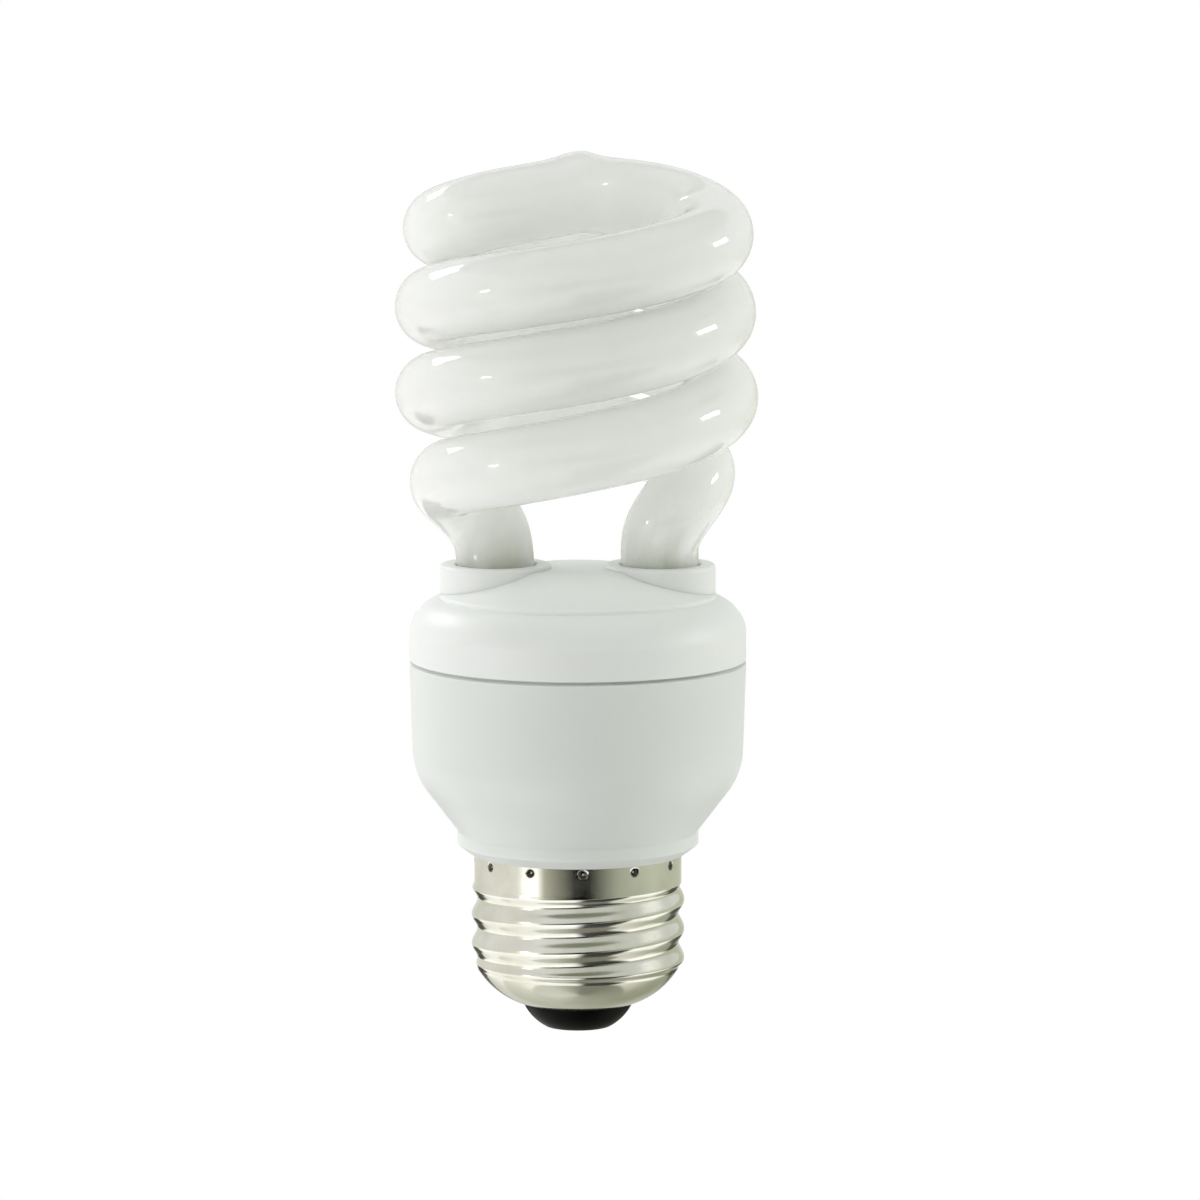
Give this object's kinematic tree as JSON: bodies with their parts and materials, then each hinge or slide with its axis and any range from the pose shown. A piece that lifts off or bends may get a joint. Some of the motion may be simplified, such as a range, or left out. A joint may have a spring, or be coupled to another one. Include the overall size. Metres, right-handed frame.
{
  "type": "spiral energy saving bulb",
  "caption": "Spiral energy saving lamp: a double coil of white glass tube on a white ballast housing with an Edison screw base.",
  "frame": {"origin": "foot of the solder on the centre contact, on the lamp's axis", "axes": "+Z along the lamp's axis from the centre contact to the coil; +X through the leg on the right of the picture"},
  "size_m": [0.0444, 0.0444, 0.1079],
  "materials": {
    "phosphor_glass": "glossy clear glass over an even white phosphor coat",
    "holder_plastic": "moulded white plastic, satin",
    "housing_plastic": "moulded white plastic, satin",
    "cement": "set lamp cement, matt",
    "shell_nickel": "nickel plated, bright",
    "insulator_glass": "black moulded glass, glossy",
    "contact_brass": "stamped brass",
    "solder": "tin solder, satin",
    "board_laminate": "paper laminate with its copper side up",
    "can_aluminium": "drawn aluminium",
    "capacitor_sleeve": "shrunk black sleeve",
    "bung_rubber": "matt",
    "tinned_wire": "tinned",
    "ferrite": "sintered, dull",
    "bobbin_plastic": "moulded",
    "winding_tape": "yellow film tape over the winding",
    "toroid_ferrite": "coated",
    "enamelled_wire": "enamelled copper",
    "component_black": "moulded",
    "diode_black": "moulded with a grey band",
    "diac_glass": "lacquered glass",
    "fuse_lacquer": "flameproof lacquer",
    "resistor_lacquer": "lacquer with colour bands",
    "film_red": "dipped",
    "film_brown": "dipped",
    "inductor_sleeve": "shrunk sleeve",
    "lead_black": "insulated wire",
    "lead_white": "insulated wire",
    "electrode_wire": "bare nickel wire"
  },
  "bodies": {
    "root": {"spiral_tube": "phosphor_glass", "tube_holder": "holder_plastic", "leg_cement_left": "cement", "leg_cement_right": "cement", "ballast_housing": "housing_plastic", "screw_shell": "shell_nickel", "base_insulator": "insulator_glass", "centre_contact": "contact_brass", "contact_solder": "solder", "circuit_board": "board_laminate", "capacitor_can": "can_aluminium", "capacitor_sleeve": "capacitor_sleeve", "capacitor_bung": "bung_rubber", "capacitor_leads": "tinned_wire", "choke_core_lower": "ferrite", "choke_core_upper": "ferrite", "choke_bobbin": "bobbin_plastic", "choke_winding": "winding_tape", "choke_pins": "tinned_wire", "toroid_core": "toroid_ferrite", "diac": "diac_glass", "fuse_resistor": "fuse_lacquer", "resonant_capacitor": "film_red", "coupling_capacitor": "film_brown", "input_inductor": "inductor_sleeve", "live_lead": "lead_black", "neutral_lead": "lead_white", "toroid_winding_1": "enamelled_wire", "toroid_winding_2": "enamelled_wire", "toroid_winding_3": "enamelled_wire", "transistor_1": "component_black", "transistor_2": "component_black", "rectifier_diode_1": "diode_black", "rectifier_diode_2": "diode_black", "rectifier_diode_3": "diode_black", "rectifier_diode_4": "diode_black", "start_resistor_1": "resistor_lacquer", "start_resistor_2": "resistor_lacquer", "wrap_pin_1": "tinned_wire", "wrap_pin_2": "tinned_wire", "wrap_pin_3": "tinned_wire", "wrap_pin_4": "tinned_wire", "electrode_lead_1": "electrode_wire", "electrode_lead_2": "electrode_wire", "electrode_lead_3": "electrode_wire", "electrode_lead_4": "electrode_wire"}
  },
  "joints": []
}
